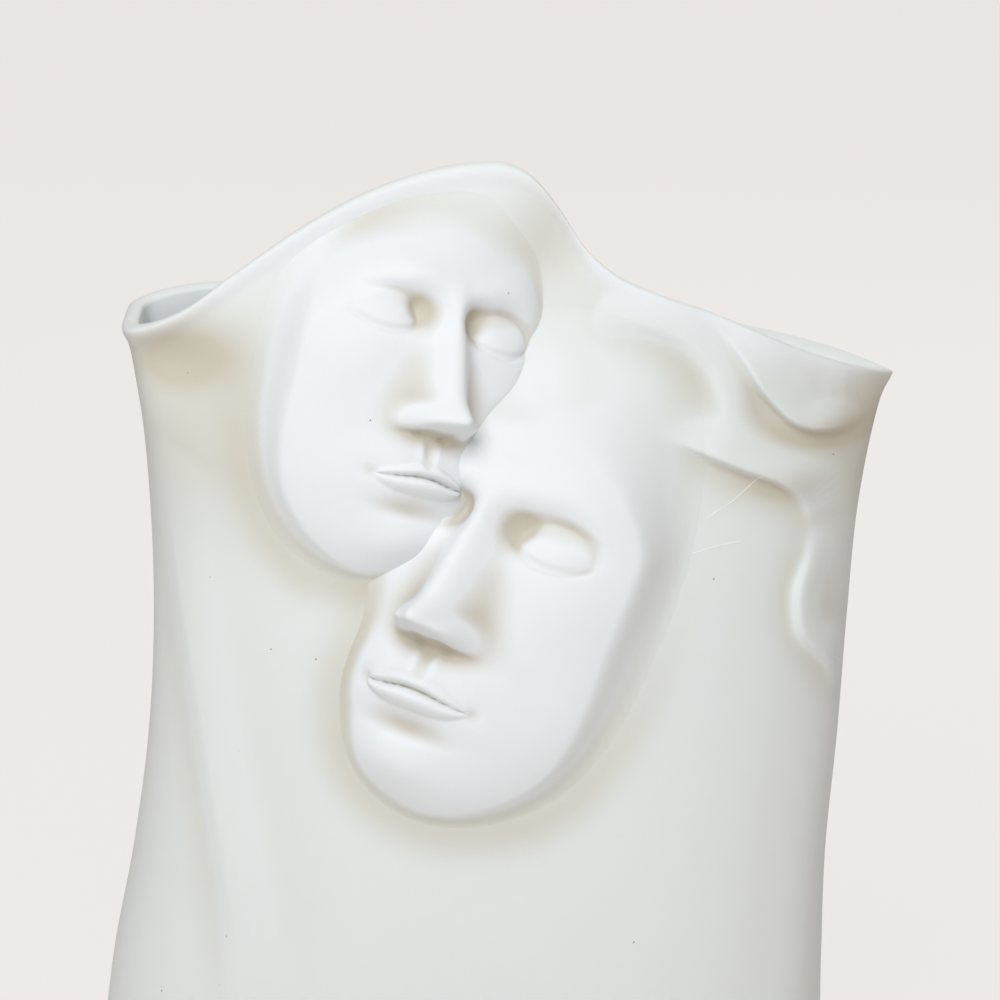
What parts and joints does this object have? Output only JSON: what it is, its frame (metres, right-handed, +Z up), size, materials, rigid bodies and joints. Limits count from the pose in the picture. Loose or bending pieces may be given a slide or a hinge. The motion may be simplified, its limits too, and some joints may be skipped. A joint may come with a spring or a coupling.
{
  "type": "face vase",
  "caption": "Flat bag-shaped white clay vase with two calm face reliefs in its front wall, a hooded mouth and a pinched end.",
  "frame": {"origin": "centre of the foot on the plane that it rests on", "axes": "+Z up, +X to the right of someone who faces the masks, towards the pinched end, and the masks face -Y"},
  "size_m": [0.2246, 0.1122, 0.3032],
  "materials": {
    "bisque": "matt, unglazed, fine-grained white bisque"
  },
  "bodies": {
    "root": {"front_shell": "bisque", "back_shell": "bisque", "base_slab": "bisque", "upper_mask": "bisque", "lower_mask": "bisque"}
  },
  "joints": []
}
